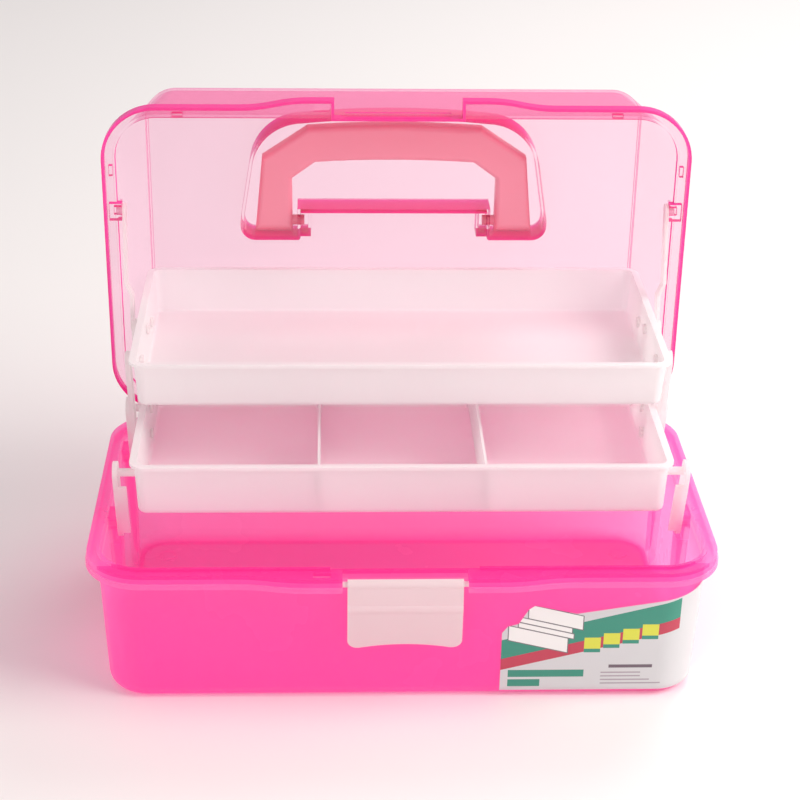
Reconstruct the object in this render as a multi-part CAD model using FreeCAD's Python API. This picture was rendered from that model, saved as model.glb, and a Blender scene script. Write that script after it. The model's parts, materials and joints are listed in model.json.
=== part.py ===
import FreeCAD, Part
import math
import os

# Art supply box with a hinged lid and two cantilever trays, all injection moulded plastic.
# Millimetres.  +X is the width, -Y the front, +Z up.  The origin is the centre of the tub's underside.
# The box is modelled open.  The lid, latch and handle are drawn shut and flat, then turned into place.

V = FreeCAD.Vector
X_AXIS = V(1, 0, 0)

# ---- tub ----
rim_half_x = 165.0          # outside of the rim, half the width
rim_half_y = 93.5
rim_corner = 31.0
rim_z = 80.0                # top of the tub, where the lid sits
tub_wall = 1.8
flange = 6.0                # how far the rim stands out from the wall
tub_draft_x = 3.5           # how far the walls lean in, top to bottom
tub_draft_y = 3.0
tub_bottom_radius = 8.0
skirt_drop = 7.5            # the rim's skirt hangs this far below the rim
skirt_wall = 1.8
bead_height = 2.8           # thicker bead along the bottom of the skirt
bead_proud = 0.8
lip_height = 1.2            # lip above the flange, in line with the wall
lip_gap = 1.0               # room left in the lip beside parts of the lid
bulge = 4.3                 # the rim swells forward at the middle of the front
pad_radius = 5.0            # low round pads near the corners of the floor
pad_height = 0.8
pad_x = rim_half_x - 31.0
pad_y = rim_half_y - 33.5

# ---- latch and its notch ----
latch_half_x = 29.5
latch_notch_gap = 2.5       # notch beyond each end of the latch
latch_length = 38.0         # axis to free edge
latch_plate = 2.0
latch_y = -rim_half_y - 1.1  # hinge axis of the latch
latch_z = rim_z - 4.0
latch_pin = 1.5
latch_barrel = latch_pin + 1.1
latch_bow = 2.0             # the plate curves this much towards the tub
latch_arch = 2.5            # hollow of the free edge
latch_corner = 5.0
lid_skirt = 6.0             # the lid's own skirt, drawn shut
hook_at = lid_skirt + 7.5   # rounded ridge that snaps over the catch, distance from the axis
hook_radius = 4.0
hook_proud = 1.4
ear_wall = 2.0
lid_notch_half_x = latch_half_x + 6.0
window_x0 = lid_notch_half_x + 2.5  # small square window in both rims, left of the latch
window_size = 9.0
bulge_flat = window_x0 + window_size + 2.0   # half the length of the swollen stretch
bulge_end = bulge_flat + 39.0                # where the swelling has died out

# ---- lid, drawn shut ----
lid_height = 64.0
lid_wall = 1.6
lid_draft_x = 14.5
lid_draft_y = 3.0
lid_plate = 1.8
lid_corner = 25.0
lid_top_corner = 18.0
lid_open_angle = 89.0
lid_edge_radius = 2.0
catch_height = 2.0          # rib on the lid that the latch hooks over
catch_depth = 1.8
tab_size = (6.0, 2.2, 3.2)  # small locating tabs under the lid's ledge
tab_x = rim_half_x - 43.0
tab_y = rim_half_y - 37.5

# ---- lid hinges ----
hinge_y = rim_half_y + 1.5
hinge_z = rim_z - 1.5
hinge_x = rim_half_x - 70.0
hinge_pin_radius = 1.5
knuckle_radius = hinge_pin_radius + 2.5
knuckle_mid = 13.4
knuckle_side = 8.0
knuckle_gap = 0.3
knuckle_room = 0.4          # clearance round the knuckles in both rims
knuckle_web = 5.0           # the web reaches this far in front of the axis
hinge_pin_head = hinge_pin_radius + 1.1
hinge_pin_head_length = 1.0
pin_clearance = 0.05

# ---- handle and its recess, drawn shut ----
recess_floor_z = rim_z + lid_height - 18.0
recess_wall = 1.8
recess_top_y = -rim_half_y + 22.0            # crown of the far edge
recess_shoulder = (54.0, recess_top_y + 2.7)
recess_arc_mid = (74.5, recess_top_y + 11.5)
recess_side_top = (83.0, recess_top_y + 28.5)
recess_side_low = (88.6, recess_top_y + 62.5)
recess_low_y = recess_top_y + 72.5
recess_low_radius = 7.0
web_edge_y = recess_top_y + 55.5             # edge of the plate between the handle's legs
web_half_x = 57.0
socket_depth = 4.5          # pocket in the web behind each pivot hole
socket_half_y = 6.5
handle_axis_y = recess_top_y + 65.5
handle_axis_z = recess_floor_z + 9.0
handle_thick = 12.4
handle_leg_outer = (82.0, 77.5)     # half width at the pivot and at the shoulder
handle_leg_inner = 60.0
handle_shoulder_y = recess_top_y + 25.5
handle_top = (51.0, recess_top_y + 7.5)
handle_crown_y = recess_top_y + 5.5
handle_inner_shoulder_y = recess_top_y + 38.0
handle_inner_top = (46.5, recess_top_y + 28.0)
handle_inner_crown_y = recess_top_y + 26.5
handle_round = 3.0
stub_radius = 3.0
stub_length = 7.0

# ---- trays, open ----
tray_wall = 1.4
tray_lip = 2.4
tray_lip_thick = 1.6
tray_corner = 6.0
tray_bottom_radius = 3.0
tray_depth = 138.0
tray_draft_y = 3.0
upper_half_x = rim_half_x - 20.0
upper_draft_x = 1.5
upper_height = 26.5
lower_half_x = upper_half_x - 2.0
lower_draft_x = 1.0
lower_full_height = 30.5
tray_above_rim = 6.0        # least room between the open lower tray and the tub's rim
divider_x = 44.0
divider_thick = 1.4
divider_drop = 2.5          # divider's top edge below the rim
rib_depth = 1.3
rib_width = 1.2
slot_clearance = 0.15

# ---- link arms ----
arm_thick = 2.5
arm_half = 6.0
lower_arm_length = 40.0
lower_arm_angle = 107.0     # from +Y towards +Z, tray open
upper_arm_length = 54.0
upper_arm_angle = 106.0
upper_arm_half = 5.0
lid_link_length = 64.0
lid_link_angle = 76.0
lid_link_half = 4.5
lid_link_thick = 1.8
lid_link_jog = 3.2          # the link steps outwards on its way to the lid
lid_link_jog_from = 16.0
lid_link_jog_to = 23.0
upper_arm_x = upper_half_x + 1.0
lower_arm_x = upper_arm_x + arm_thick + 1.0  # inner face of the lower arms and of the links
tub_pivot_z = rim_z - 10.0
tub_pivot_y = (rim_half_y - 115.5, rim_half_y - 38.5)
pivot_below_rim = (8.25, 8.29)       # arm holes below the rim: lower tray, upper tray
pivot_behind_front = (11.3, 25.3)    # front arm's hole behind the tray's front
upper_pivot_above_base = 10.3        # upper arms' holes in the lower tray, above its underside
upper_pivot_reach = (80.2, 121.6)    # the same holes, behind its front
link_pivot_place = (88.0, 13.5)      # link's hole in the upper tray: behind its front, below its rim
lid_hole_offset = (0.31, 0.19)       # lid's hole from the link's stud, lid open; the hole is loose
stud_radius = 2.2
stud_clearance = 0.08
snap_radius = stud_radius + 0.8
snap_length = 1.4
snap_gap = 0.2
link_stud_radius = stud_radius - 0.2
lid_hole_clearance = 0.8    # the loop of links is open here
flange_thick = 1.6          # stiffening flange along the front of a lower front arm
flange_inner_x = lower_half_x + 2.2
post_face_gap = 0.7         # lower arm to the post's upright
post_front = 7.0            # foot of the post, in front of the pivot and behind it
post_inner_x = lower_arm_x + 0.9
post_foot_below = 7.5       # top of the foot, below the pivot
upright_thick = 3.0
upright_half_y = 6.0
upright_above = 8.0         # top of the upright, above the pivot
gusset_half = 1.0
post_hole_depth = 3.6
boss_half_y = 5.0
boss_drop = 4.0

# ---- label ----
label_thick = 0.25
label_left_x = rim_half_x - 114.0
label_back_y = -rim_half_y + 35.5
label_low_z = 4.0
label_outline = ((0.0, 37.0), (3.0, 41.0), (8.5, 42.6), (13.4, 51.5), (16.6, 53.8), (38.5, 48.7),
                 (112.0, 61.0))     # top edge, from the left


def arc(a, b, c):
    """Edge of the circle through three points."""
    return Part.Arc(a, b, c).toShape()


def line(a, b):
    return Part.LineSegment(a, b).toShape()


def polygon(points):
    return Part.makePolygon(list(points) + [points[0]])


def corner_arc(cx, cy, radius, start_deg, z):
    """Quarter circle that starts at start_deg and runs anticlockwise."""
    points = []
    for step in (0.0, 45.0, 90.0):
        angle = math.radians(start_deg + step)
        points.append(V(cx + radius * math.cos(angle), cy + radius * math.sin(angle), z))
    return points


def swelling(x_from, y_from, x_to, y_to, z):
    """Two equal tangent arcs that leave and arrive parallel to X."""
    run = (x_to - x_from) / 2
    rise = (y_to - y_from) / 2
    radius = (run * run + rise * rise) / (2 * abs(rise))
    half_turn = math.asin(abs(run) / radius) / 2
    along = math.copysign(radius * math.sin(half_turn), run)
    across = math.copysign(radius * (1 - math.cos(half_turn)), rise)
    middle = V(x_from + run, y_from + rise, z)
    first = arc(V(x_from, y_from, z), V(x_from + along, y_from + across, z), middle)
    second = arc(middle, V(x_to - along, y_to - across, z), V(x_to, y_to, z))
    return [first, second]


def rounded_wire(half_x, half_y, radius, z, front_bulge=0.0, centre_y=0.0):
    """Rectangle with round corners, with an optional swelling along its front."""
    right, left = half_x - radius, -half_x + radius
    back, front = centre_y + half_y - radius, centre_y - half_y + radius
    corners = [corner_arc(right, back, radius, 0, z), corner_arc(left, back, radius, 90, z),
               corner_arc(left, front, radius, 180, z), corner_arc(right, front, radius, 270, z)]
    edges = []
    for index, points in enumerate(corners):
        edges.append(arc(*points))
        start = points[2]
        end = corners[(index + 1) % 4][0]
        if index == 2 and front_bulge > 0:
            y = start.y
            edges.append(line(start, V(-bulge_end, y, z)))
            edges += swelling(-bulge_end, y, -bulge_flat, y - front_bulge, z)
            edges.append(line(V(-bulge_flat, y - front_bulge, z), V(bulge_flat, y - front_bulge, z)))
            edges += swelling(bulge_flat, y - front_bulge, bulge_end, y, z)
            edges.append(line(V(bulge_end, y, z), end))
        else:
            edges.append(line(start, end))
    return Part.Wire(edges)


def prism(wire, height):
    return Part.Face(wire).extrude(V(0, 0, height))


def box(low, high):
    size = [b - a for a, b in zip(low, high)]
    return Part.makeBox(*size, V(*low))


def cylinder_x(radius, x_from, x_to, y, z):
    return Part.makeCylinder(radius, abs(x_to - x_from), V(min(x_from, x_to), y, z), X_AXIS)


def rounded_body(low, high, edge_radius):
    """Drafted block between two outlines, each (half_x, half_y, corner, z, centre_y)."""
    wires = [rounded_wire(hx, hy, r, z, 0.0, cy) for hx, hy, r, z, cy in (low, high)]
    body = Part.makeLoft(wires, True, True)
    level = low[3]
    edges = [e for e in body.Edges if abs(e.BoundBox.ZMin - level) < 1e-4 and abs(e.BoundBox.ZMax - level) < 1e-4]
    return body.makeFillet(edge_radius, edges)


def tub_body(grow):
    """Outside of the tub's walls, made larger all round by grow (negative for the inside)."""
    top = (rim_half_x - flange + grow, rim_half_y - flange + grow, rim_corner - flange + grow, rim_z, 0.0)
    low = (top[0] - tub_draft_x, top[1] - tub_draft_y, top[2] - tub_draft_y, -grow, 0.0)
    return rounded_body(low, top, tub_bottom_radius + grow)


def mirrored(shape):
    return shape.mirror(V(0, 0, 0), X_AXIS)


def both_sides(shape):
    return [shape, mirrored(shape)]


def one_solid(shape):
    """The cleaned union as a single solid."""
    shape = shape.removeSplitter()
    solids = shape.Solids
    if len(solids) != 1:
        print("warning: %d solids where one is meant" % len(solids))
    return solids[0]


def turned(shape, degrees, y, z):
    """Copy of the shape turned about an axis along X through (y, z)."""
    copy = shape.copy()
    copy.rotate(V(0, y, z), X_AXIS, degrees)
    return copy


def opened(shape):
    """From the lid's shut place to its open one."""
    return turned(shape, -lid_open_angle, hinge_y, hinge_z)


def polar(centre, length, degrees):
    angle = math.radians(degrees)
    return (centre[0] + length * math.cos(angle), centre[1] + length * math.sin(angle))


# Each tray is placed by the arms that carry it, and the lid's hole by the link, so that the holes always meet.
lower_pivots = [polar((y, tub_pivot_z), lower_arm_length, lower_arm_angle) for y in tub_pivot_y]
lower_front_y = lower_pivots[0][0] - pivot_behind_front[0]
lower_rim_z = lower_pivots[0][1] + pivot_below_rim[0]
lower_height = min(lower_full_height, lower_rim_z - rim_z - tray_above_rim)
upper_pivot_y = [lower_front_y + reach for reach in upper_pivot_reach]
upper_pivot_z = lower_rim_z - lower_height + upper_pivot_above_base
upper_pivots = [polar((y, upper_pivot_z), upper_arm_length, upper_arm_angle) for y in upper_pivot_y]
upper_front_y = upper_pivots[0][0] - pivot_behind_front[1]
upper_rim_z = upper_pivots[0][1] + pivot_below_rim[1]
link_pivot = (upper_front_y + link_pivot_place[0], upper_rim_z - link_pivot_place[1])


def shut_place(point):
    """Where a (y, z) point of the open lid lies when the lid is drawn shut."""
    angle = math.radians(lid_open_angle)
    dy, dz = point[0] - hinge_y, point[1] - hinge_z
    cosine, sine = math.cos(angle), math.sin(angle)
    return (hinge_y + dy * cosine - dz * sine, hinge_z + dy * sine + dz * cosine)


link_end = polar(link_pivot, lid_link_length, lid_link_angle)
lid_pivot = shut_place((link_end[0] + lid_hole_offset[0], link_end[1] + lid_hole_offset[1]))

latch_notch = latch_half_x + latch_notch_gap
post_face = lower_arm_x + arm_thick + post_face_gap


def knuckle(x_from, x_to, web_low_z, web_high_z):
    """Hinge knuckle with the web that ties it to the back of a rim."""
    barrel = cylinder_x(knuckle_radius, x_from, x_to, hinge_y, hinge_z)
    web = box((x_from, hinge_y - knuckle_web, web_low_z), (x_to, hinge_y, web_high_z))
    return barrel.fuse(web)


def hinge_room(centre):
    """Space round a whole hinge, pin head included, that is cleared in a rim before its knuckles are added."""
    half = knuckle_mid / 2 + 2 * knuckle_gap + knuckle_side + 2 * hinge_pin_head_length
    return cylinder_x(knuckle_radius + knuckle_room, centre - half, centre + half, hinge_y, hinge_z)


def pivot_post(y):
    """Foot, thin upright with the pivot's seat, and gusset to the wall, for one lower arm."""
    foot_top = tub_pivot_z - post_foot_below
    outer_x = post_face + upright_thick
    foot = box((post_inner_x, y - post_front, tub_wall), (outer_x, y + post_front, foot_top))
    upright = box((post_face, y - upright_half_y, tub_wall), (outer_x + 1, y + upright_half_y,
                                                              tub_pivot_z + upright_above))
    gusset = box((outer_x - 1, y - gusset_half, tub_wall), (rim_half_x, y + gusset_half, tub_pivot_z))
    return foot.fuse(upright).fuse(gusset).common(tub_body(-tub_wall / 2))


def make_tub():
    wall_in = tub_body(-tub_wall)
    body = tub_body(0.0).cut(wall_in)
    # rim: flat flange, skirt and bead
    low = rim_z - skirt_drop
    outline = (rim_half_x - bead_proud, rim_half_y - bead_proud, rim_corner - bead_proud)
    skirt_in = tuple(v - skirt_wall for v in outline)
    rim = prism(rounded_wire(*outline, low, bulge), skirt_drop)
    bead = prism(rounded_wire(rim_half_x, rim_half_y, rim_corner, low, bulge), bead_height)
    hollow = prism(rounded_wire(*skirt_in, low, bulge), skirt_drop - tub_wall)
    # ears at the ends of the latch notch
    ear_y = (-rim_half_y - bulge + bead_proud, -rim_half_y + flange + tub_wall)
    ear = box((latch_notch, ear_y[0], low), (latch_notch + ear_wall, ear_y[1], rim_z))
    rim = rim.fuse(bead).cut(hollow)
    for piece in both_sides(ear):
        rim = rim.fuse(piece)
    notch = box((-latch_notch, -rim_half_y - 2 * bulge, low - 1), (latch_notch, -rim_half_y + flange, rim_z + 1))
    rim = rim.cut(notch)
    window_y = -rim_half_y - bulge + skirt_wall + 1.5
    window = box((-window_x0 - window_size, window_y, rim_z - 3), (-window_x0, window_y + window_size / 2, rim_z + 1))
    rim = rim.cut(window)
    # lip in line with the wall, open where the lid's notch wall and link bosses come down
    lip = prism(rounded_wire(rim_half_x - flange, rim_half_y - flange, rim_corner - flange, rim_z), lip_height)
    wall = flange + tub_wall
    lip = lip.cut(prism(rounded_wire(rim_half_x - wall, rim_half_y - wall, rim_corner - wall, rim_z), lip_height))
    notch_x = lid_notch_half_x + lid_wall + lip_gap
    lip = lip.cut(box((-notch_x, -rim_half_y, rim_z), (notch_x, 0, rim_z + lip_height)))
    boss_y = boss_half_y + lip_gap
    lip = lip.cut(box((-rim_half_x, lid_pivot[0] - boss_y, rim_z),
                      (rim_half_x, lid_pivot[0] + boss_y, rim_z + lip_height)))
    tub = body.fuse(rim.cut(tub_body(-tub_wall / 2))).fuse(lip)
    for y in tub_pivot_y:
        for piece in both_sides(pivot_post(y)):
            tub = tub.fuse(piece)
    # floor pads
    for x in (-pad_x, pad_x):
        for y in (-pad_y, pad_y):
            pad = Part.makeCylinder(pad_radius, pad_height + tub_wall / 2, V(x, y, tub_wall / 2))
            tub = tub.fuse(pad)
    # hinge knuckles
    side_from = knuckle_mid / 2 + knuckle_gap
    for centre in (-hinge_x, hinge_x):
        tub = tub.cut(hinge_room(centre))
        for sign in (-1, 1):
            ends = sorted((centre + sign * side_from, centre + sign * (side_from + knuckle_side)))
            tub = tub.fuse(knuckle(ends[0], ends[1], low, rim_z))
        length = knuckle_mid / 2 + knuckle_gap + knuckle_side
        bore = hinge_pin_radius + pin_clearance
        tub = tub.cut(cylinder_x(bore, centre - length - 1, centre + length + 1, hinge_y, hinge_z))
    # holes for the arms and for the latch
    for y in tub_pivot_y:
        hole = cylinder_x(stud_radius + stud_clearance, post_face - 1, post_face + post_hole_depth, y, tub_pivot_z)
        for piece in both_sides(hole):
            tub = tub.cut(piece)
    latch_bore = latch_pin + pin_clearance
    hole = cylinder_x(latch_bore, latch_notch - 1, latch_notch + ear_wall + 1, latch_y, latch_z)
    for piece in both_sides(hole):
        tub = tub.cut(piece)
    return one_solid(tub)


def lid_body(grow):
    """Outside of the lid's walls above its ledge, made larger by grow (negative for the inside)."""
    low_z = rim_z + lid_skirt
    top_z = rim_z + lid_height
    low = (rim_half_x - flange + grow, rim_half_y - flange + grow, lid_corner + grow, low_z, 0.0)
    top = (low[0] - lid_draft_x, low[1] - lid_draft_y, lid_top_corner + grow, top_z, 0.0)
    return low, top


def lid_block(grow, floor_z, ceiling_z):
    """Drafted block of the lid between two heights, on the same slopes at any height."""
    low, top = lid_body(grow)
    span = top[3] - low[3]
    outlines = []
    for z in (floor_z, ceiling_z):
        share = (z - low[3]) / span
        values = [a + (b - a) * share for a, b in zip(low[:3], top[:3])]
        outlines.append(rounded_wire(*values, z))
    return Part.makeLoft(outlines, True, True)


def recess_wire(z):
    """U-shaped outline of the handle's recess."""
    right = []
    mid_low = recess_low_radius * (1 - math.sqrt(0.5))
    side_x = recess_side_low[0]
    right.append(arc(V(recess_shoulder[0], recess_shoulder[1], z), V(recess_arc_mid[0], recess_arc_mid[1], z),
                     V(recess_side_top[0], recess_side_top[1], z)))
    right.append(line(V(recess_side_top[0], recess_side_top[1], z), V(side_x, recess_side_low[1], z)))
    low_start = V(side_x, recess_low_y - recess_low_radius, z)
    right.append(line(V(side_x, recess_side_low[1], z), low_start))
    right.append(arc(low_start, V(side_x - mid_low, recess_low_y - mid_low, z),
                     V(side_x - recess_low_radius, recess_low_y, z)))
    right.append(line(V(side_x - recess_low_radius, recess_low_y, z), V(web_half_x, recess_low_y, z)))
    right.append(line(V(web_half_x, recess_low_y, z), V(web_half_x, web_edge_y, z)))
    left = [mirrored(edge) for edge in right]
    crown = arc(V(-recess_shoulder[0], recess_shoulder[1], z), V(0, recess_top_y, z),
                V(recess_shoulder[0], recess_shoulder[1], z))
    web = line(V(-web_half_x, web_edge_y, z), V(web_half_x, web_edge_y, z))
    return Part.Wire(Part.__sortEdges__([crown, web] + right + left))


def make_lid():
    top_z = rim_z + lid_height
    ledge_z = rim_z + lid_skirt
    block = lid_block(0.0, ledge_z, top_z)
    top_edges = [e for e in block.Edges if abs(e.BoundBox.ZMin - top_z) < 1e-4]
    block = block.makeFillet(lid_edge_radius, top_edges)
    lid = block.cut(lid_block(-lid_wall, ledge_z, top_z - lid_plate))
    # ledge and skirt
    outline = (rim_half_x, rim_half_y, rim_corner)
    skirt_in = tuple(v - skirt_wall for v in outline)
    rim = prism(rounded_wire(*outline, rim_z, bulge), lid_skirt)
    rim = rim.cut(prism(rounded_wire(*skirt_in, rim_z, bulge), lid_skirt - lid_wall))
    rim = rim.cut(lid_block(-lid_wall, ledge_z - lid_wall - 1, ledge_z + 1))
    # side walls of the latch notch
    notch_y = -rim_half_y + flange
    cheek = box((lid_notch_half_x, -rim_half_y - bulge, rim_z), (lid_notch_half_x + lid_wall, notch_y, ledge_z))
    for piece in both_sides(cheek):
        rim = rim.fuse(piece)
    notch = box((-lid_notch_half_x, -rim_half_y - 2 * bulge, rim_z - 1), (lid_notch_half_x, notch_y, ledge_z + 1))
    rim = rim.cut(notch)
    window_y = -rim_half_y - bulge + skirt_wall + 1.5
    window = box((-window_x0 - window_size, window_y, rim_z), (-window_x0, window_y + window_size / 2, ledge_z + 1))
    rim = rim.cut(window)
    lid = lid.fuse(rim)
    # wall that closes the notch down to the rim, and the rib that the latch hooks over
    inner = notch_y + lid_wall
    closing = box((-lid_notch_half_x - lid_wall, notch_y, rim_z), (lid_notch_half_x + lid_wall, inner, ledge_z + 0.5))
    catch = box((-latch_half_x, notch_y - catch_depth, ledge_z - catch_height), (latch_half_x, inner, ledge_z))
    lid = lid.fuse(closing).fuse(catch)
    # handle recess with its pivot sockets
    outer_wire = recess_wire(recess_floor_z - recess_wall).makeOffset2D(recess_wall)
    shell = prism(outer_wire, top_z - recess_floor_z + recess_wall - lid_plate / 2)
    socket_y = (handle_axis_y - socket_half_y, handle_axis_y + socket_half_y)
    socket_x = web_half_x - recess_wall
    socket_floor = handle_axis_z - stub_radius - 2.0
    case = box((socket_x - socket_depth - lid_wall, socket_y[0] - lid_wall, socket_floor - lid_wall),
               (socket_x + lid_wall, socket_y[1] + lid_wall, top_z - lid_plate / 2))
    for piece in both_sides(case):
        shell = shell.fuse(piece)
    lid = lid.fuse(shell)
    lid = lid.cut(prism(recess_wire(recess_floor_z), lid_height))
    pocket = box((socket_x - socket_depth, socket_y[0], socket_floor), (socket_x, socket_y[1], top_z + 1))
    stub_hole = cylinder_x(stub_radius + stud_clearance, socket_x - 1, web_half_x + 1, handle_axis_y, handle_axis_z)
    for piece in both_sides(pocket) + both_sides(stub_hole):
        lid = lid.cut(piece)
    # locating tabs under the ledge
    dx, dy, dz = tab_size
    edge_y = -rim_half_y + flange - dy
    for x in (-tab_x, tab_x):
        lid = lid.fuse(box((x - dx / 2, edge_y, ledge_z - lid_wall - dz), (x + dx / 2, edge_y + dy, ledge_z - 0.5)))
    side = box((rim_half_x - flange, -tab_y - dx / 2, ledge_z - lid_wall - dz),
               (rim_half_x - flange + dy, -tab_y + dx / 2, ledge_z - 0.5))
    for piece in both_sides(side):
        lid = lid.fuse(piece)
    # bosses for the links
    y, z = lid_pivot
    inner = lower_arm_x + lid_link_jog + lid_link_thick + 0.4
    boss = box((inner, y - boss_half_y, z - boss_drop), (rim_half_x - 3.0, y + boss_half_y, ledge_z + 3.0))
    boss = boss.common(lid_block(-lid_wall / 2, rim_z, top_z).fuse(
        box((inner, y - boss_half_y, z - boss_drop), (rim_half_x - 3.0, y + boss_half_y, ledge_z - 0.5))))
    hole = cylinder_x(link_stud_radius + lid_hole_clearance, inner - 1, inner + post_hole_depth + 1, y, z)
    for piece in both_sides(boss):
        lid = lid.fuse(piece)
    for piece in both_sides(hole):
        lid = lid.cut(piece)
    # hinge knuckles
    half = knuckle_mid / 2
    for centre in (-hinge_x, hinge_x):
        lid = lid.cut(hinge_room(centre))
        lid = lid.fuse(knuckle(centre - half, centre + half, rim_z + knuckle_gap, ledge_z))
        bore = hinge_pin_radius + pin_clearance
        lid = lid.cut(cylinder_x(bore, centre - half - 1, centre + half + 1, hinge_y, hinge_z))
    return opened(one_solid(lid))


def make_handle():
    """U-shaped grip: an outer outline less an inner one, with a stub on each leg."""
    z = handle_axis_z - handle_thick / 2
    low_x, shoulder_x = handle_leg_outer
    end_y = handle_axis_y + handle_thick / 2
    right = [V(low_x, end_y, z), V(shoulder_x, handle_shoulder_y, z), V(handle_top[0], handle_top[1], z)]
    left = [V(-p.x, p.y, z) for p in reversed(right)]
    outer = [line(a, b) for a, b in zip(right, right[1:])]
    outer.append(arc(right[-1], V(0, handle_crown_y, z), left[0]))
    outer += [line(a, b) for a, b in zip(left, left[1:])]
    outer.append(line(left[-1], V(-handle_leg_inner, end_y, z)))
    inner_left = [V(-handle_leg_inner, end_y, z), V(-handle_leg_inner, handle_inner_shoulder_y, z),
                  V(-handle_inner_top[0], handle_inner_top[1], z)]
    inner_right = [V(-p.x, p.y, z) for p in reversed(inner_left)]
    outer += [line(a, b) for a, b in zip(inner_left, inner_left[1:])]
    outer.append(arc(inner_left[-1], V(0, handle_inner_crown_y, z), inner_right[0]))
    outer += [line(a, b) for a, b in zip(inner_right, inner_right[1:])]
    outer.append(line(inner_right[-1], right[0]))
    grip = prism(Part.Wire(outer), handle_thick)
    # round the far ends of the legs about the pivot, so that they turn inside the recess
    reach = handle_thick / 2
    keep = cylinder_x(reach, -low_x - 1, low_x + 1, handle_axis_y, handle_axis_z)
    keep = keep.fuse(box((-low_x - 1, handle_crown_y - 1, z), (low_x + 1, handle_axis_y, z + handle_thick)))
    long_edges = [e for e in grip.Edges if e.Length > handle_thick + 1 and e.BoundBox.YMax < end_y + 1e-4
                  and e.BoundBox.ZLength < 1e-4 and e.BoundBox.YMin < end_y - 1]
    grip = grip.makeFillet(handle_round, long_edges).common(keep)
    stub = cylinder_x(stub_radius, handle_leg_inner - stub_length, handle_leg_inner + 2, handle_axis_y, handle_axis_z)
    for piece in both_sides(stub):
        grip = grip.fuse(piece)
    return opened(one_solid(grip))


def make_latch():
    """Bowed plate that hangs from a barrel, with a rounded ridge on its outer face."""
    face_y = latch_y - latch_barrel + 0.6           # outer face of the plate beside the barrel
    low_z = latch_z - latch_length
    mid_z = (latch_z + low_z) / 2
    outer = [V(0, face_y, latch_z), V(0, face_y - latch_bow / 2, mid_z), V(0, face_y + latch_bow, low_z)]
    inner = [V(0, p.y + latch_plate, p.z) for p in outer]
    section = Part.Wire([arc(*outer), line(outer[2], inner[2]), arc(inner[2], inner[1], inner[0]),
                         line(inner[0], outer[0])])
    plate = Part.Face(section).extrude(V(2 * latch_half_x, 0, 0))
    plate.translate(V(-latch_half_x, 0, 0))
    corners = [e for e in plate.Edges if e.BoundBox.XLength < 1e-4 and e.BoundBox.ZLength < 1e-4
               and abs(e.BoundBox.ZMin - low_z) < 1e-4]
    plate = plate.makeFillet(latch_corner, corners)
    barrel = cylinder_x(latch_barrel, -latch_half_x, latch_half_x, latch_y, latch_z)
    ridge_y = face_y - latch_bow / 4 - hook_proud + hook_radius
    ridge = cylinder_x(hook_radius, -latch_half_x, latch_half_x, ridge_y, latch_z - hook_at)
    ridge = ridge.common(box((-latch_half_x, ridge_y - hook_radius, low_z), (latch_half_x, face_y + 1, latch_z)))
    # hollow of the free edge: a shallow cylinder across the plate
    span = latch_half_x - latch_corner - 1.0
    radius = (span * span + latch_arch * latch_arch) / (2 * latch_arch)
    centre = V(0, latch_y - 20, low_z + latch_arch - radius)
    hollow = Part.makeCylinder(radius, 40, centre, V(0, 1, 0))
    latch = barrel.fuse(plate).fuse(ridge).cut(hollow)
    pin = cylinder_x(latch_pin, latch_half_x - 1, latch_notch + ear_wall, latch_y, latch_z)
    for piece in both_sides(pin):
        latch = latch.fuse(piece)
    return one_solid(latch)


def make_hinge_pin(centre):
    half = knuckle_mid / 2 + knuckle_gap + knuckle_side
    shank = cylinder_x(hinge_pin_radius, centre - half, centre + half, hinge_y, hinge_z)
    sign = 1 if centre > 0 else -1
    head_from = centre + sign * (half + 0.1)
    head = cylinder_x(hinge_pin_head, head_from, head_from + sign * hinge_pin_head_length, hinge_y, hinge_z)
    neck = cylinder_x(hinge_pin_radius, centre + sign * half, centre + sign * (half + 0.1), hinge_y, hinge_z)
    return one_solid(shank.fuse(neck).fuse(head))


def tray_inside_half_x(half_x, draft_x, rim, height, z):
    """Inner half width of a tray's side wall at height z."""
    top = half_x - tray_lip - tray_wall
    return top - draft_x * (rim - z) / height


def make_tray(half_x, draft_x, front_y, rim, height, pivots):
    centre_y = front_y + tray_depth / 2
    top_x = half_x - tray_lip
    top_y = tray_depth / 2 - tray_lip
    base = rim - height

    def block(grow):
        low = (top_x - draft_x + grow, top_y - tray_draft_y + grow, tray_corner - 1 + grow, base - grow, centre_y)
        top = (top_x + grow, top_y + grow, tray_corner + grow, rim, centre_y)
        return rounded_body(low, top, tray_bottom_radius + grow)

    hollow = block(-tray_wall)
    lip = prism(rounded_wire(half_x, tray_depth / 2, tray_corner + tray_lip, rim - tray_lip_thick, 0.0, centre_y),
                tray_lip_thick)
    tray = block(0.0).fuse(lip).cut(hollow)
    for y, z in pivots:
        hole = cylinder_x(stud_radius + stud_clearance, half_x / 2, half_x + 5, y, z)
        for piece in both_sides(hole):
            tray = tray.cut(piece)
    return tray, hollow


def make_lower_tray():
    tray, hollow = make_tray(lower_half_x, lower_draft_x, lower_front_y, lower_rim_z, lower_height,
                             lower_pivots + [(y, upper_pivot_z) for y in upper_pivot_y])
    # pairs of ribs that hold the dividers
    half_gap = divider_thick / 2 + slot_clearance
    back_y = lower_front_y + tray_depth
    depth = tray_lip + tray_wall + tray_draft_y + rib_depth
    for x in (-divider_x, divider_x):
        for side in (-1, 1):
            near = x + side * half_gap
            far = near + side * rib_width
            for y0, y1 in ((lower_front_y, lower_front_y + depth), (back_y - depth, back_y)):
                rib = box((min(near, far), y0, lower_rim_z - lower_height + 0.5),
                          (max(near, far), y1, lower_rim_z - divider_drop))
                tray = tray.fuse(rib.common(hollow))
    return one_solid(tray)


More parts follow.
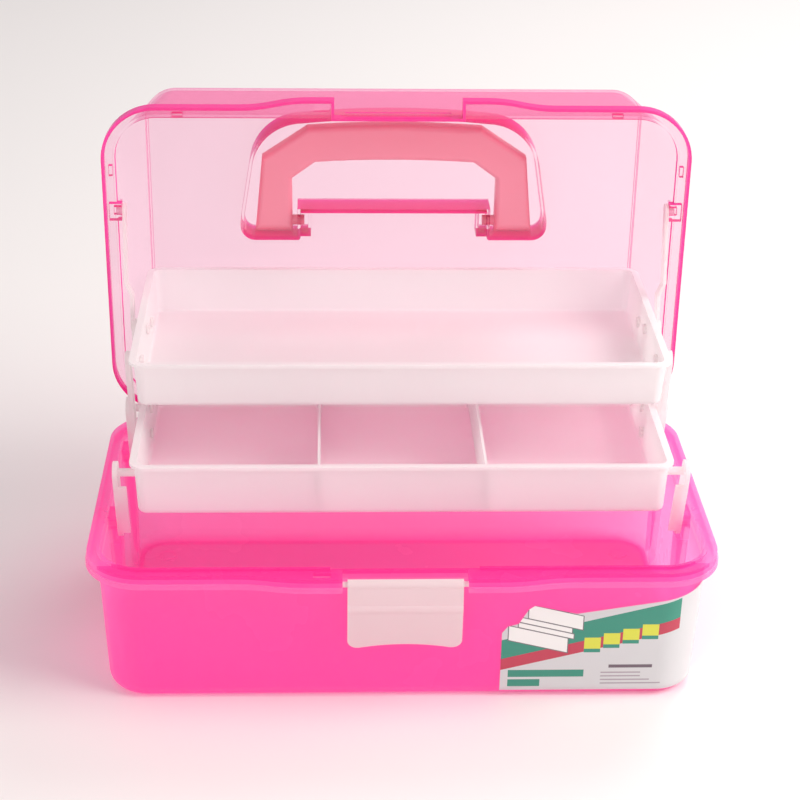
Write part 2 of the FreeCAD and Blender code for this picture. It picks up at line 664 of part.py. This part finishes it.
def make_upper_tray():
    tray, _ = make_tray(upper_half_x, upper_draft_x, upper_front_y, upper_rim_z, upper_height,
                        upper_pivots + [link_pivot])
    return one_solid(tray)


def make_divider(x):
    """Plate that fills the tray's section between the ribs."""
    centre_y = lower_front_y + tray_depth / 2
    top = tray_depth / 2 - tray_lip - tray_wall
    low_z = lower_rim_z - lower_height + tray_wall + 0.1
    high_z = lower_rim_z - divider_drop
    half = []
    for z in (low_z, high_z):
        half.append(top - tray_draft_y * (lower_rim_z - z) / lower_height - slot_clearance)
    points = [V(x, centre_y - half[0], low_z), V(x, centre_y + half[0], low_z),
              V(x, centre_y + half[1], high_z), V(x, centre_y - half[1], high_z)]
    plate = Part.Face(polygon(points)).extrude(V(divider_thick, 0, 0))
    plate.translate(V(-divider_thick / 2, 0, 0))
    round_by = tray_bottom_radius - tray_wall + 1.0
    edges = [e for e in plate.Edges if e.BoundBox.XLength > divider_thick / 2 and abs(e.BoundBox.ZMin - low_z) < 1e-4
             and abs(e.BoundBox.ZMax - low_z) < 1e-4]
    return plate.makeFillet(round_by, edges).Solids[0]


def bar(start, end, half, x_from, x_to):
    """Flat bar with round ends between two pivots, in a plane across X."""
    length = math.hypot(end[0] - start[0], end[1] - start[1])
    angle = math.degrees(math.atan2(end[1] - start[1], end[0] - start[0]))
    middle = box((x_from, 0, -half), (x_to, length, half))
    ends = [cylinder_x(half, x_from, x_to, y, 0) for y in (0, length)]
    shape = middle.fuse(ends[0]).fuse(ends[1])
    shape.rotate(V(0, 0, 0), X_AXIS, angle)
    shape.translate(V(0, start[0], start[1]))
    return shape


def inward_stud(point, x_from, wall_inside):
    """Stud through a tray's wall with a snap head inside it."""
    y, z = point
    stud = cylinder_x(stud_radius, x_from, wall_inside - snap_gap - snap_length, y, z)
    head = cylinder_x(snap_radius, wall_inside - snap_gap, wall_inside - snap_gap - snap_length, y, z)
    return stud.fuse(head)


def snap_face(point, half_x, draft_x, rim, height):
    """Where the head must stop: the innermost wall beside the head."""
    return tray_inside_half_x(half_x, draft_x, rim, height, point[1] - snap_radius)


def make_lower_arm(index):
    start = (tub_pivot_y[index], tub_pivot_z)
    end = lower_pivots[index]
    x0, x1 = lower_arm_x, lower_arm_x + arm_thick
    arm = bar(start, end, arm_half, x0, x1)
    if index == 0:
        # stiffening flange along the front edge; the rear arms have no room for one
        rib = box((flange_inner_x, 0, arm_half - flange_thick), (x1, lower_arm_length - arm_half, arm_half))
        rib.rotate(V(0, 0, 0), X_AXIS, lower_arm_angle)
        rib.translate(V(0, start[0], start[1]))
        arm = arm.fuse(rib)
    post_stud = cylinder_x(stud_radius, x1 - 0.5, post_face + post_hole_depth - 0.3, *start)
    face = snap_face(end, lower_half_x, lower_draft_x, lower_rim_z, lower_height)
    return one_solid(arm.fuse(post_stud).fuse(inward_stud(end, x0 + 0.5, face)))


def make_upper_arm(index):
    start = (upper_pivot_y[index], upper_pivot_z)
    end = upper_pivots[index]
    x0, x1 = upper_arm_x, upper_arm_x + arm_thick
    arm = bar(start, end, upper_arm_half, x0, x1)
    low_face = snap_face(start, lower_half_x, lower_draft_x, lower_rim_z, lower_height)
    high_face = snap_face(end, upper_half_x, upper_draft_x, upper_rim_z, upper_height)
    arm = arm.fuse(inward_stud(start, x0 + 0.5, low_face)).fuse(inward_stud(end, x0 + 0.5, high_face))
    return one_solid(arm)


def make_lid_link():
    """Strap that steps outwards between the tray and the lid."""
    x0, thick = lower_arm_x, lid_link_thick
    half = lid_link_half
    reach = lid_link_length + half
    far = x0 + lid_link_jog
    side = [V(x0, -half, -half), V(x0, lid_link_jog_from, -half), V(far, lid_link_jog_to, -half), V(far, reach, -half),
            V(far + thick, reach, -half), V(far + thick, lid_link_jog_to, -half),
            V(x0 + thick, lid_link_jog_from, -half), V(x0 + thick, -half, -half)]
    strap = Part.Face(polygon(side)).extrude(V(0, 0, 2 * half))
    outline = bar((0, 0), (lid_link_length, 0), half, x0 - 1, far + thick + 1)
    link = strap.common(outline)
    lid_stud = cylinder_x(link_stud_radius, far + thick / 2, far + thick + post_hole_depth, lid_link_length, 0)
    link = link.fuse(lid_stud)
    link.rotate(V(0, 0, 0), X_AXIS, lid_link_angle)
    link.translate(V(0, *link_pivot))
    face = snap_face(link_pivot, upper_half_x, upper_draft_x, upper_rim_z, upper_height)
    return one_solid(link.fuse(inward_stud(link_pivot, x0 + 0.5, face)))


def make_label():
    """Thin label that wraps the front right corner of the tub."""
    skin = tub_body(label_thick).cut(tub_body(0.0))
    top = [V(label_left_x + x, -rim_half_y, label_low_z + z) for x, z in label_outline]
    low = [V(label_left_x + label_outline[-1][0], -rim_half_y, label_low_z), V(label_left_x, -rim_half_y, label_low_z)]
    region = Part.Face(polygon(top + low)).extrude(V(0, label_back_y + rim_half_y, 0))
    return one_solid(skin.common(region))


def export(name, shape):
    if not shape.isValid():
        print("warning: %s is not valid" % name)
    shape.exportStep("parts/%s.step" % name)


def export_pair(name, shape):
    """The shape is the right-hand one; the left is its mirror image."""
    export(name + "_right", shape)
    export(name + "_left", mirrored(shape))


os.makedirs("parts", exist_ok=True)
export("tub", make_tub())
export("lid", make_lid())
export("handle", make_handle())
export("latch", make_latch())
export("hinge_pin_left", make_hinge_pin(-hinge_x))
export("hinge_pin_right", make_hinge_pin(hinge_x))
export("lower_tray", make_lower_tray())
export("upper_tray", make_upper_tray())
export("divider_left", make_divider(-divider_x))
export("divider_right", make_divider(divider_x))
for index, place in enumerate(("front", "rear")):
    export_pair("lower_%s_arm" % place, make_lower_arm(index))
    export_pair("upper_%s_arm" % place, make_upper_arm(index))
export_pair("lid_link", make_lid_link())
export("label", make_label())
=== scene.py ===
import json
import math

import bmesh
import bpy
from mathutils import Matrix, Vector


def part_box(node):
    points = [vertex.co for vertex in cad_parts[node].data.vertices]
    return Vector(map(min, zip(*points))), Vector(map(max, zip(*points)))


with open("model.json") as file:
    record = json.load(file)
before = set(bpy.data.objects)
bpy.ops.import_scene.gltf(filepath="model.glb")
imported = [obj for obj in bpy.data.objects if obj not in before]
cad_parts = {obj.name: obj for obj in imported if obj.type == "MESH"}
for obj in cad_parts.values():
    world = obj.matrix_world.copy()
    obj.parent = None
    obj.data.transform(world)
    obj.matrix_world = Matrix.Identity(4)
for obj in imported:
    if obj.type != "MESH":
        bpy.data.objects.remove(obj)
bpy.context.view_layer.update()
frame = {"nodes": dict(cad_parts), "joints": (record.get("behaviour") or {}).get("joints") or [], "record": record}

MM = 0.001
nodes_by_name = frame["nodes"]
joints = {joint["name"]: joint for joint in frame["joints"]}
tub_low, tub_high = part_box("tub")
lid_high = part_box("lid")[1]
label_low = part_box("label")[0]
lid_hinge = Vector(joints["lid_hinge"]["pos_m"])
lid_lean = math.radians(joints["lid_hinge"]["range_deg"][1])
rim_above_hinge = 1.5 * MM
lid_depth = lid_high.y - lid_hinge.y - rim_above_hinge

# The tub's rim, measured down from the top of its hinge knuckles, and where its front stretch starts.
FLANGE_DEPTH = 4.4 * MM
# The bead's band below the rim carries a painted highlight.
BEAD_DEPTHS = (6.9 * MM, 10.0 * MM)
FRONT_RIM_FROM = -82.0 * MM

# Where the shut lid's edges lie, from its rim upwards and from its hinge forwards.
LID_RIM_FACE = 0.3 * MM
LID_SKIRT_HEIGHT = 6.2 * MM
LID_CORNER_FROM = 60.6 * MM
LID_TOP_EDGE = 2.0 * MM
RECESS_DEPTH = 43.6 * MM
RECESS_HALF_WIDTH = 96.0 * MM
RECESS_REACH = (88.0 * MM, 172.0 * MM)
LID_FRONT_WALL_FROM = 177.0 * MM

# Moulded plastic: slow waves of the wall, and the mould's grain, drawn coarse enough to show.
WALL_WAVE = 27.0 * MM
MOULD_GRAIN = 1.2 * MM
MOULD_GRAIN_SHARE = 0.08
BUMP_HEIGHT = 0.4 * MM
GLOSS_PATCHES_PER_METRE = 22.0
POLYPROPYLENE_IOR = 1.49


# ---------------------------------------------------------------- node helpers

def linear(hex_colour):
    """An sRGB hex colour as linear RGBA."""
    values = []
    for start in (1, 3, 5):
        share = int(hex_colour[start:start + 2], 16) / 255
        values.append(share / 12.92 if share <= 0.04045 else ((share + 0.055) / 1.055) ** 2.4)
    return (*values, 1.0)


def add(tree, kind, inputs=None, **settings):
    """Adds one node, sets it, and fills its inputs with values or with other nodes' outputs."""
    node = tree.nodes.new(kind)
    for name, value in settings.items():
        setattr(node, name, value)
    for key, value in (inputs or {}).items():
        if isinstance(value, bpy.types.NodeSocket):
            tree.links.new(value, node.inputs[key])
        else:
            node.inputs[key].default_value = value
    return node


def new_material(name):
    material = bpy.data.materials.new(name)
    material.use_nodes = True
    material.node_tree.nodes.clear()
    return material, material.node_tree


def object_coordinates(tree):
    return add(tree, "ShaderNodeTexCoord").outputs["Object"]


def maths(tree, operation, first, second=0.0, third=None):
    inputs = {0: first, 1: second}
    if third is not None:
        inputs[2] = third
    return add(tree, "ShaderNodeMath", inputs, operation=operation).outputs[0]


def within(tree, value, low, high):
    """1 where value lies between two limits, else 0."""
    above = maths(tree, "GREATER_THAN", value, low)
    below = maths(tree, "LESS_THAN", value, high)
    return maths(tree, "MULTIPLY", above, below)


def blend(tree, mask, first, second):
    """The first colour where the mask is 0, the second where it is 1."""
    inputs = {0: mask, 6: first, 7: second}
    return add(tree, "ShaderNodeMix", inputs, data_type="RGBA").outputs[2]


def moulding_bump(tree, strength):
    """The faint unevenness of a moulded wall, with a fine texture from the mould's steel."""
    place = object_coordinates(tree)
    slow = add(tree, "ShaderNodeTexNoise", {"Vector": place, "Scale": 1 / WALL_WAVE, "Detail": 2.0})
    fine = add(tree, "ShaderNodeTexNoise", {"Vector": place, "Scale": 1 / MOULD_GRAIN, "Detail": 1.0})
    height = maths(tree, "MULTIPLY_ADD", fine.outputs[0], MOULD_GRAIN_SHARE, slow.outputs[0])
    bump = add(tree, "ShaderNodeBump", {"Height": height, "Strength": strength, "Distance": BUMP_HEIGHT})
    return bump.outputs[0]


def gloss_variation(tree, low, high):
    """Roughness that drifts between two values, as on a handled plastic surface."""
    place = object_coordinates(tree)
    patches = {"Vector": place, "Scale": GLOSS_PATCHES_PER_METRE, "Detail": 3.0}
    noise = add(tree, "ShaderNodeTexNoise", patches)
    spread = {0: noise.outputs[0], 1: 0.3, 2: 0.7, 3: low, 4: high}
    return add(tree, "ShaderNodeMapRange", spread).outputs[0]


def clear_share(tree, surface, clear_colour, share):
    """Lets a share of the light straight through, tinted."""
    clear = add(tree, "ShaderNodeBsdfTransparent", {"Color": clear_colour})
    return add(tree, "ShaderNodeMixShader", {0: share, 1: surface, 2: clear.outputs[0]}).outputs[0]


# ---------------------------------------------------------------- materials

TUB_GLOW_SHARE = 0.6        # light that is scattered through the wall rather than back
TUB_CLEAR_SHARE = 0.5       # light that passes straight through it


def injection_moulded_hot_pink():
    """Tinted polypropylene, injection moulded: light goes through it and comes out hot pink.

    The emission is a painted glow that keeps the deep parts bright, standing in for the dye's faint fluorescence.
    The rim is thick, so it is darker on top,
    and the bead below it is painted lighter: a painted highlight where it catches the light.
    """
    material, tree = new_material("hot_pink_translucent_polypropylene")
    parts = add(tree, "ShaderNodeSeparateXYZ", {0: object_coordinates(tree)})
    depth = maths(tree, "SUBTRACT", tub_high.z, parts.outputs[2])
    front = maths(tree, "LESS_THAN", parts.outputs[1], FRONT_RIM_FROM)
    flange = maths(tree, "MULTIPLY", maths(tree, "LESS_THAN", depth, FLANGE_DEPTH), front)
    # The bead band is painted lighter in skin and tint: a painted highlight where it catches the light.
    bead = within(tree, depth, *BEAD_DEPTHS)
    normal = moulding_bump(tree, 0.12)
    skin = blend(tree, flange, linear("#FF60C2"), linear("#FF46B4"))
    skin = blend(tree, bead, skin, linear("#FF96D6"))
    tint = blend(tree, flange, linear("#FFD0EE"), linear("#FF9AD8"))
    tint = blend(tree, bead, tint, linear("#FFE0F2"))
    solid = add(tree, "ShaderNodeBsdfPrincipled", {
        "Base Color": skin, "Roughness": gloss_variation(tree, 0.2, 0.3), "IOR": POLYPROPYLENE_IOR,
        "Specular IOR Level": 1.0, "Normal": normal,
        # Painted glow: this emission makes the pink shine by itself and keeps the deep parts bright.
        "Emission Color": linear("#FF3F95"), "Emission Strength": 0.4})
    glow = add(tree, "ShaderNodeBsdfTranslucent", {"Color": tint, "Normal": normal})
    body = add(tree, "ShaderNodeMixShader", {0: TUB_GLOW_SHARE, 1: solid.outputs[0], 2: glow.outputs[0]})
    surface = clear_share(tree, body.outputs[0], tint, TUB_CLEAR_SHARE)
    add(tree, "ShaderNodeOutputMaterial", {"Surface": surface})
    return material


UPRIGHT_FACING = 0.6        # a face that leans less than this towards the lid's axis is a wall
CORNER_COLOUR = 0.4         # how far each stretch of edge turns from the pale tint to the deep one
FRONT_WALL_COLOUR = 0.3
SHEEN_SHARE = 0.1
EDGE_SHEEN_SHARE = 0.6      # added at the edges


def clear_pink_lid():
    """Clear tinted polypropylene: thin walls show what is behind them, and cut edges gather the colour."""
    material, tree = new_material("clear_pink_polypropylene")
    coordinates = add(tree, "ShaderNodeTexCoord")
    upwards = (0.0, math.sin(lid_lean), math.cos(lid_lean))         # the shut lid's +Z
    forwards = (0.0, -math.cos(lid_lean), math.sin(lid_lean))       # the shut lid's -Y
    place = add(tree, "ShaderNodeVectorMath", {0: coordinates.outputs["Object"], 1: tuple(lid_hinge)},
                operation="SUBTRACT").outputs[0]
    depth = add(tree, "ShaderNodeVectorMath", {0: place, 1: upwards}, operation="DOT_PRODUCT").outputs[1]
    depth = maths(tree, "SUBTRACT", depth, rim_above_hinge)
    reach = add(tree, "ShaderNodeVectorMath", {0: place, 1: forwards}, operation="DOT_PRODUCT").outputs[1]
    facing = add(tree, "ShaderNodeVectorMath", {0: coordinates.outputs["Normal"], 1: upwards},
                 operation="DOT_PRODUCT").outputs[1]
    sideways = maths(tree, "ABSOLUTE", add(tree, "ShaderNodeSeparateXYZ", {0: place}).outputs[0])
    upright = maths(tree, "LESS_THAN", maths(tree, "ABSOLUTE", facing), UPRIGHT_FACING)
    rim_face = maths(tree, "LESS_THAN", depth, LID_RIM_FACE)
    skirt = maths(tree, "LESS_THAN", depth, LID_SKIRT_HEIGHT)
    corner = within(tree, depth, LID_CORNER_FROM, lid_depth)
    pocket = within(tree, reach, *RECESS_REACH)
    pocket = maths(tree, "MULTIPLY", pocket, maths(tree, "LESS_THAN", sideways, RECESS_HALF_WIDTH))
    pocket = maths(tree, "MULTIPLY", pocket, within(tree, depth, RECESS_DEPTH, lid_depth - LID_TOP_EDGE))
    edges = maths(tree, "MAXIMUM", skirt, maths(tree, "MULTIPLY", corner, CORNER_COLOUR))
    front_wall = maths(tree, "GREATER_THAN", reach, LID_FRONT_WALL_FROM)
    edges = maths(tree, "MAXIMUM", edges, maths(tree, "MULTIPLY", front_wall, FRONT_WALL_COLOUR))
    edges = maths(tree, "MULTIPLY", upright, maths(tree, "MAXIMUM", edges, pocket))
    edges = maths(tree, "MAXIMUM", edges, rim_face)
    tint = blend(tree, edges, linear("#FFF2F9"), linear("#FF58B8"))
    clear = add(tree, "ShaderNodeBsdfTransparent", {"Color": tint})
    normal = moulding_bump(tree, 0.1)
    colour = blend(tree, edges, linear("#FFC4E0"), linear("#FF2FA2"))
    sheen = add(tree, "ShaderNodeBsdfPrincipled", {
        "Base Color": colour, "Roughness": gloss_variation(tree, 0.1, 0.18), "IOR": POLYPROPYLENE_IOR,
        "Specular IOR Level": 1.0, "Normal": normal})
    share = maths(tree, "MULTIPLY_ADD", edges, EDGE_SHEEN_SHARE, SHEEN_SHARE)
    surface = add(tree, "ShaderNodeMixShader", {0: share, 1: clear.outputs[0], 2: sheen.outputs[0]})
    add(tree, "ShaderNodeOutputMaterial", {"Surface": surface.outputs[0]})
    return material


def milky_polypropylene(name, base, glow, clear, clear_part, glow_part):
    """Natural polypropylene, moulded: milky, with a waxy half gloss and some light coming through."""
    material, tree = new_material(name)
    normal = moulding_bump(tree, 0.1)
    solid = add(tree, "ShaderNodeBsdfPrincipled", {
        "Base Color": linear(base), "Roughness": gloss_variation(tree, 0.32, 0.44), "IOR": POLYPROPYLENE_IOR,
        "Normal": normal})
    lit = add(tree, "ShaderNodeBsdfTranslucent", {"Color": linear(glow), "Normal": normal})
    body = add(tree, "ShaderNodeMixShader", {0: glow_part, 1: solid.outputs[0], 2: lit.outputs[0]})
    surface = clear_share(tree, body.outputs[0], linear(clear), clear_part)
    add(tree, "ShaderNodeOutputMaterial", {"Surface": surface})
    return material


def salmon_handle():
    """Salmon pink polypropylene, moulded solid, with a satin skin."""
    material, tree = new_material("salmon_moulded_polypropylene")
    surface = add(tree, "ShaderNodeBsdfPrincipled", {
        "Base Color": linear("#FFC8C2"), "Roughness": gloss_variation(tree, 0.3, 0.42),
        "IOR": POLYPROPYLENE_IOR, "Normal": moulding_bump(tree, 0.15)})
    add(tree, "ShaderNodeOutputMaterial", {"Surface": surface.outputs[0]})
    return material


DRAWN_LINES = (20.0, 900.0, 900.0)      # long along X, the wire's length, and fine across it


def drawn_steel_wire():
    """Plain drawn steel wire: grey, with fine lines along its length."""
    material, tree = new_material("drawn_steel_wire")
    place = object_coordinates(tree)
    along = add(tree, "ShaderNodeMapping", {"Vector": place, "Scale": DRAWN_LINES}).outputs[0]
    lines = add(tree, "ShaderNodeTexNoise", {"Vector": along, "Scale": 3.0})
    rough = add(tree, "ShaderNodeMapRange", {0: lines.outputs[0], 3: 0.22, 4: 0.45}).outputs[0]
    surface = add(tree, "ShaderNodeBsdfPrincipled", {
        "Base Color": linear("#B4B2AE"), "Metallic": 1.0, "Roughness": rough})
    add(tree, "ShaderNodeOutputMaterial", {"Surface": surface.outputs[0]})
    return material


# The label's artwork, in millimetres from its lower left corner.
BAND_SLOPE = 0.264
BAND_END = 93.0
GREEN_BAND = (20.5, 32.5)
RED_BAND = (13.5, 20.5)
PICTURE_SLOPE = 0.26
PICTURE_LINE = 0.55
PICTURE_BLOCKS = ((3.0, 35.0, 33.0, 42.8), (8.0, 38.0, 42.4, 46.2), (6.0, 37.0, 45.8, 49.6),
                  (13.0, 42.5, 49.2, 58.6))         # left, right, low, high: base, two trays, lid
TILES = 4
TILE_FIRST = (47.6, 29.0)
TILE_STEP = (10.0, 2.7)
TILE_HALF_WIDTH = 4.3
TILE_HEIGHTS = (-4.5, 4.8)
TILE_FOOT = (-4.5, -2.2)
HEADINGS = ((9.0, 13.5, 4.0, 44.0), (3.0, 7.5, 4.0, 21.0))      # low, high, left, right
NOTE_HEADINGS = ((14.6, 16.6, 57.0, 80.0),)
NOTE_LINES = ((11.2, 12.0, 53.0, 74.0), (8.9, 9.7, 53.0, 74.0), (6.6, 7.4, 53.0, 79.0),
              (4.3, 5.1, 53.0, 85.0))
FILM, GREEN_INK, RED_INK, YELLOW_INK = "#D2D2D4", "#2C8E78", "#BF3650", "#D9DC45"
OUTLINE_INK, PAPER_INK, DARK_INK, GREY_INK = "#6E6A70", "#F1F1EF", "#6A5A66", "#A79AA4"


def printed_film_label():
    """Printed white film with two slanting bands, an outline of an open box, four tiles and plain bars."""
    material, tree = new_material("printed_film_label")
    parts = add(tree, "ShaderNodeSeparateXYZ", {0: object_coordinates(tree)})
    across = maths(tree, "DIVIDE", maths(tree, "SUBTRACT", parts.outputs[0], label_low.x), MM)
    up = maths(tree, "DIVIDE", maths(tree, "SUBTRACT", parts.outputs[2], label_low.z), MM)
    colour = add(tree, "ShaderNodeRGB").outputs[0]
    colour.default_value = linear(FILM)

    def paint(first_mask, second_mask, ink):
        """Prints one ink where both masks are 1."""
        nonlocal colour
        colour = blend(tree, maths(tree, "MULTIPLY", first_mask, second_mask), colour, linear(ink))

    level = maths(tree, "SUBTRACT", up, maths(tree, "MULTIPLY", across, BAND_SLOPE))
    band = maths(tree, "LESS_THAN", across, BAND_END)
    paint(within(tree, level, *GREEN_BAND), band, GREEN_INK)
    paint(within(tree, level, *RED_BAND), band, RED_INK)
    lean = maths(tree, "MULTIPLY_ADD", across, PICTURE_SLOPE, up)
    for left, right, low, high in PICTURE_BLOCKS:
        for line, ink in ((0.0, OUTLINE_INK), (PICTURE_LINE, PAPER_INK)):
            column = within(tree, across, left + line, right - line)
            paint(column, within(tree, lean, low + line, high - line), ink)
    for number in range(TILES):
        centre, middle = (first + step * number for first, step in zip(TILE_FIRST, TILE_STEP))
        column = within(tree, across, centre - TILE_HALF_WIDTH, centre + TILE_HALF_WIDTH)
        for heights, ink in ((TILE_HEIGHTS, YELLOW_INK), (TILE_FOOT, GREEN_INK)):
            paint(column, within(tree, up, middle + heights[0], middle + heights[1]), ink)
    for bars, ink in ((HEADINGS, GREEN_INK), (NOTE_HEADINGS, DARK_INK), (NOTE_LINES, GREY_INK)):
        for low, high, left, right in bars:
            paint(within(tree, up, low, high), within(tree, across, left, right), ink)
    surface = add(tree, "ShaderNodeBsdfPrincipled", {
        "Base Color": colour, "Roughness": 0.32, "IOR": 1.5, "Coat Weight": 0.4, "Coat Roughness": 0.15})
    add(tree, "ShaderNodeOutputMaterial", {"Surface": surface.outputs[0]})
    return material


def dress(node_names, material):
    for name in node_names:
        mesh = nodes_by_name[name].data
        mesh.materials.clear()
        mesh.materials.append(material)


def body_nodes(*bodies):
    return [name for body in bodies for name in frame["record"]["behaviour"]["bodies"][body]]


hot_pink = injection_moulded_hot_pink()
lid_pink = clear_pink_lid()
tray_milk = milky_polypropylene("milky_tray_polypropylene", base="#FDFCFC", glow="#FFFEFE", clear="#FFFEFE",
                                clear_part=0.19, glow_part=0.4)
arm_milk = milky_polypropylene("milky_arm_polypropylene", base="#FBF7F7", glow="#FEFAFA", clear="#FFFDFD",
                               clear_part=0.25, glow_part=0.5)
latch_milk = milky_polypropylene("white_latch_polypropylene", base="#F5EBEC", glow="#F8EEEF", clear="#FFF6F7",
                                 clear_part=0.04, glow_part=0.35)
dress(["tub"], hot_pink)
dress(["lid"], lid_pink)
dress(["handle"], salmon_handle())
dress(["latch"], latch_milk)
dress(body_nodes("lower_tray", "upper_tray"), tray_milk)
dress(body_nodes("lower_front_arms", "lower_rear_arms", "upper_front_arms", "upper_rear_arms", "lid_links"),
      arm_milk)
dress(["hinge_pin_left", "hinge_pin_right"], drawn_steel_wire())
dress(["label"], printed_film_label())


# ---------------------------------------------------------------- studio

FLOOR_RADIUS = 8.0
SOFTBOX_SIZE = 1.2


def studio_floor():
    mesh = bpy.data.meshes.new("studio_floor")
    shape = bmesh.new()
    bmesh.ops.create_circle(shape, cap_ends=True, segments=64, radius=FLOOR_RADIUS)
    shape.to_mesh(mesh)
    shape.free()
    floor = bpy.data.objects.new("studio_floor", mesh)
    bpy.context.scene.collection.objects.link(floor)
    floor.location.z = tub_low.z
    material, tree = new_material("matt_white_paper")
    surface = add(tree, "ShaderNodeBsdfPrincipled", {"Base Color": linear("#F4F0EF"), "Roughness": 0.7})
    add(tree, "ShaderNodeOutputMaterial", {"Surface": surface.outputs[0]})
    mesh.materials.append(material)


def soft_light(name, place, power, colour):
    """A round softbox that faces the top of the tub."""
    lamp = bpy.data.lights.new(name, "AREA")
    lamp.shape = "DISK"
    lamp.size = SOFTBOX_SIZE
    lamp.energy = power
    lamp.color = linear(colour)[:3]
    holder = bpy.data.objects.new(name, lamp)
    bpy.context.scene.collection.objects.link(holder)
    holder.location = place
    aim = Vector((0.0, 0.0, tub_high.z)) - Vector(place)
    holder.rotation_euler = aim.to_track_quat("-Z", "Y").to_euler()


def daylight_room(hex_colour, strength):
    world = bpy.data.worlds.new("white_room")
    bpy.context.scene.world = world
    world.use_nodes = True
    background = world.node_tree.nodes["Background"]
    background.inputs[0].default_value = linear(hex_colour)
    background.inputs[1].default_value = strength


def studio_camera(azimuth_deg, elevation_deg, roll_deg, distance, target, lens):
    data = bpy.data.cameras.new("camera")
    data.lens = lens
    data.sensor_width = 36.0
    camera = bpy.data.objects.new("camera", data)
    bpy.context.scene.collection.objects.link(camera)
    turn = (Matrix.Rotation(math.radians(azimuth_deg), 4, "Z")
            @ Matrix.Rotation(math.radians(90 - elevation_deg), 4, "X")
            @ Matrix.Rotation(math.radians(roll_deg), 4, "Z"))
    backwards = turn @ Vector((0, 0, 1))
    camera.matrix_world = Matrix.Translation(Vector(target) + backwards * distance) @ turn
    bpy.context.scene.camera = camera


studio_floor()
daylight_room("#F8F4F4", 0.545)
soft_light("right_softbox", (1.3, -0.4, 1.2), power=25.0, colour="#FFFCF8")
soft_light("front_fill", (-0.5, -1.7, 1.0), power=6.0, colour="#FFFAF8")
soft_light("back_light", (0.9, 1.5, 1.5), power=15.0, colour="#FFFFFF")
studio_camera(azimuth_deg=-2.4, elevation_deg=25.97, roll_deg=0.96, distance=1.046,
              target=(-0.0005, 0.0, 0.1338), lens=87.55)
bpy.context.scene.view_settings.view_transform = "Standard"
bpy.context.scene.render.film_transparent = False
